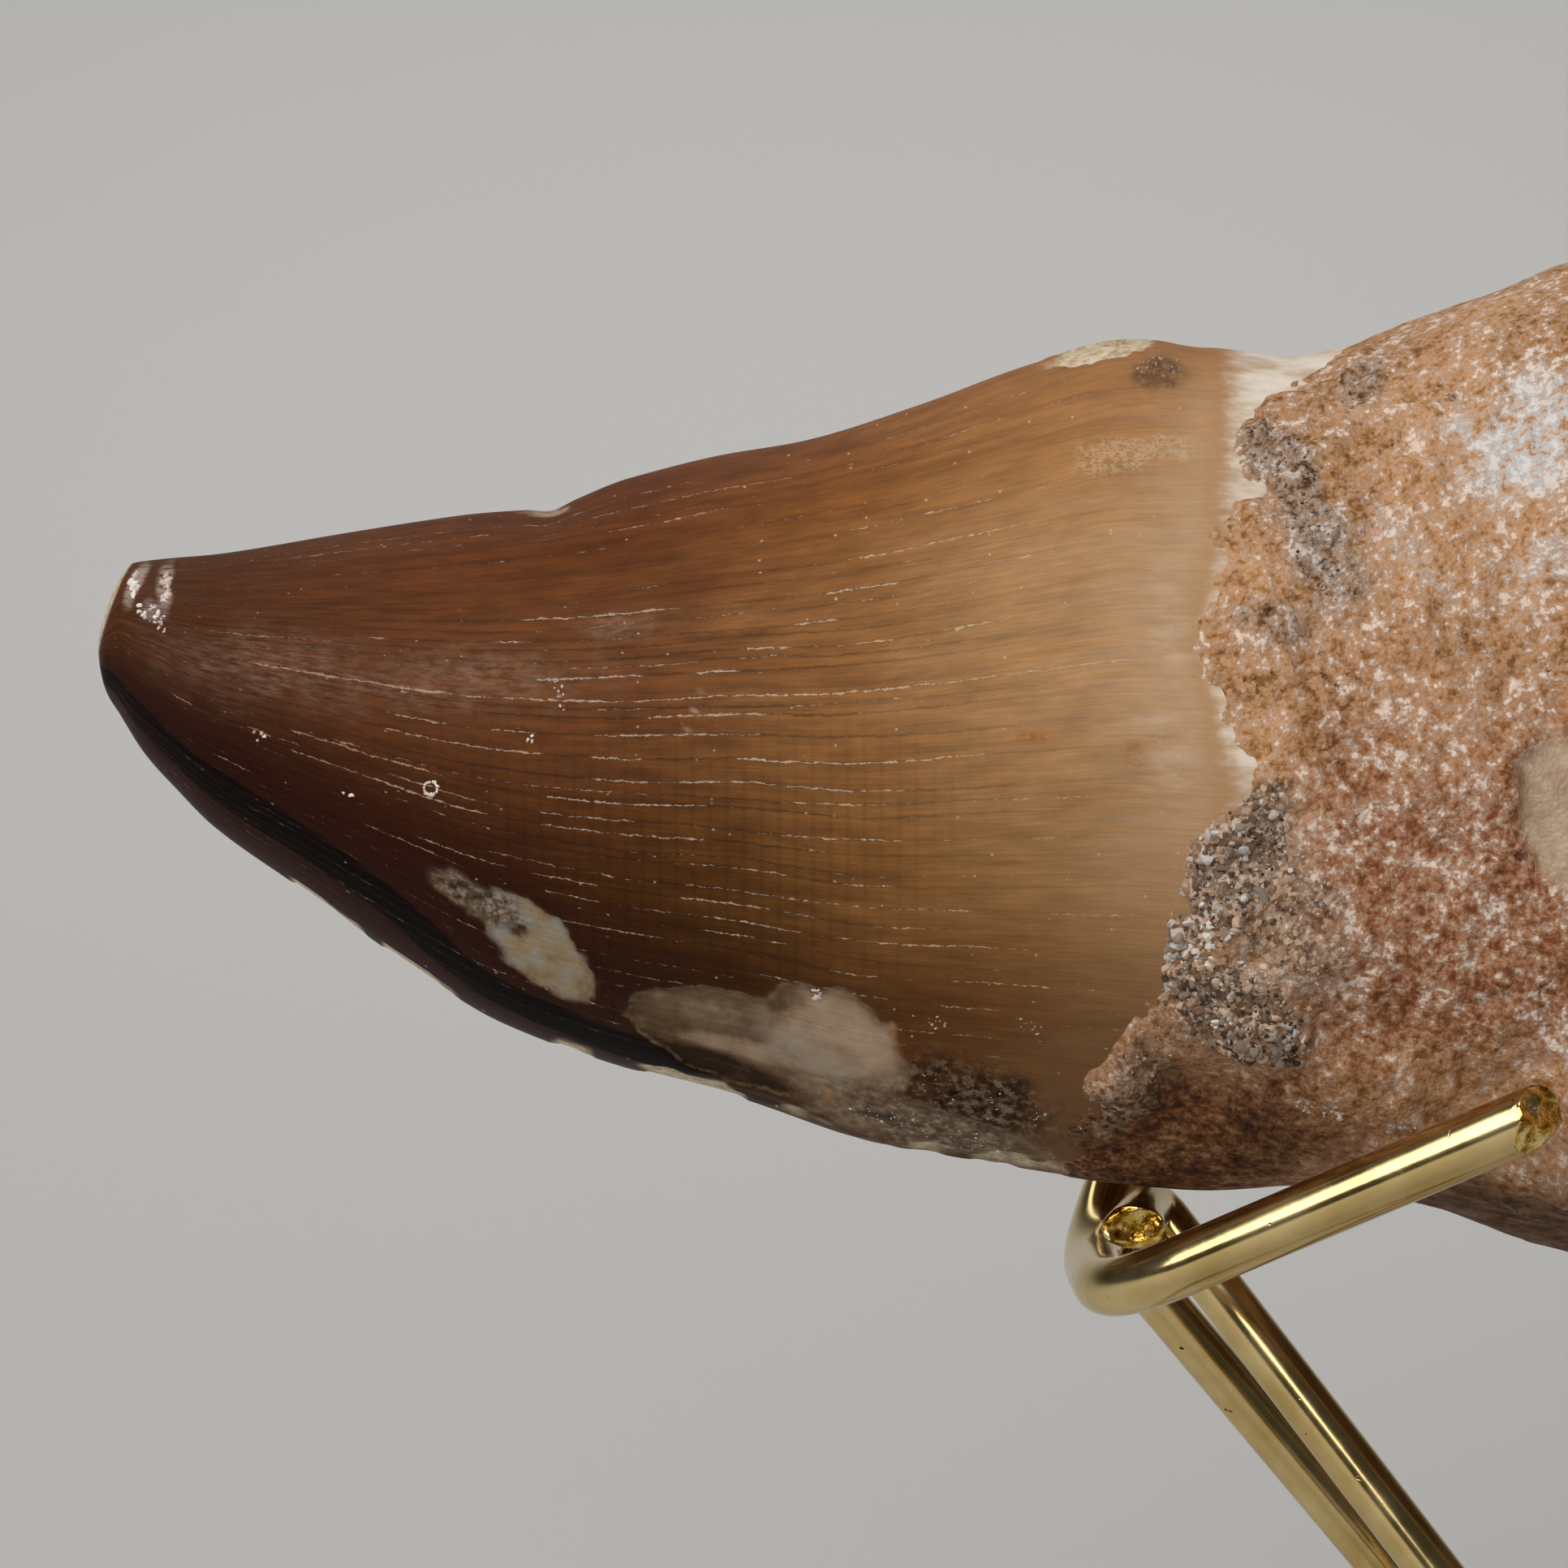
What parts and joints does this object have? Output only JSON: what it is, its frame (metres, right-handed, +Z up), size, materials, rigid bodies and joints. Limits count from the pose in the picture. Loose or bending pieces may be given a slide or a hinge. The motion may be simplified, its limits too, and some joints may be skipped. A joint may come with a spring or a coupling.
{
  "type": "fossil mosasaur tooth on a wire stand",
  "caption": "Brown fossil marine reptile tooth with its rough bony root, lying level across a crossed-leg stand of bent brass wire.",
  "frame": {"origin": "on the surface the stand rests on, under the middle of the whole object's bounding box", "axes": "+X along the tooth from its worn tip to its broken root, +Y away from the better side through the tooth's thickness, +Z up"},
  "size_m": [0.097, 0.0414, 0.0923],
  "materials": {
    "tooth": "satin enamel crown, rough sandy bone root",
    "wire": "polished"
  },
  "bodies": {
    "root": {"fossil_tooth": "tooth", "left_hook": "wire", "left_front_leg": "wire", "left_back_leg": "wire", "left_foot_bar": "wire", "right_hook": "wire", "right_front_leg": "wire", "right_back_leg": "wire", "right_foot_bar": "wire"}
  },
  "joints": []
}
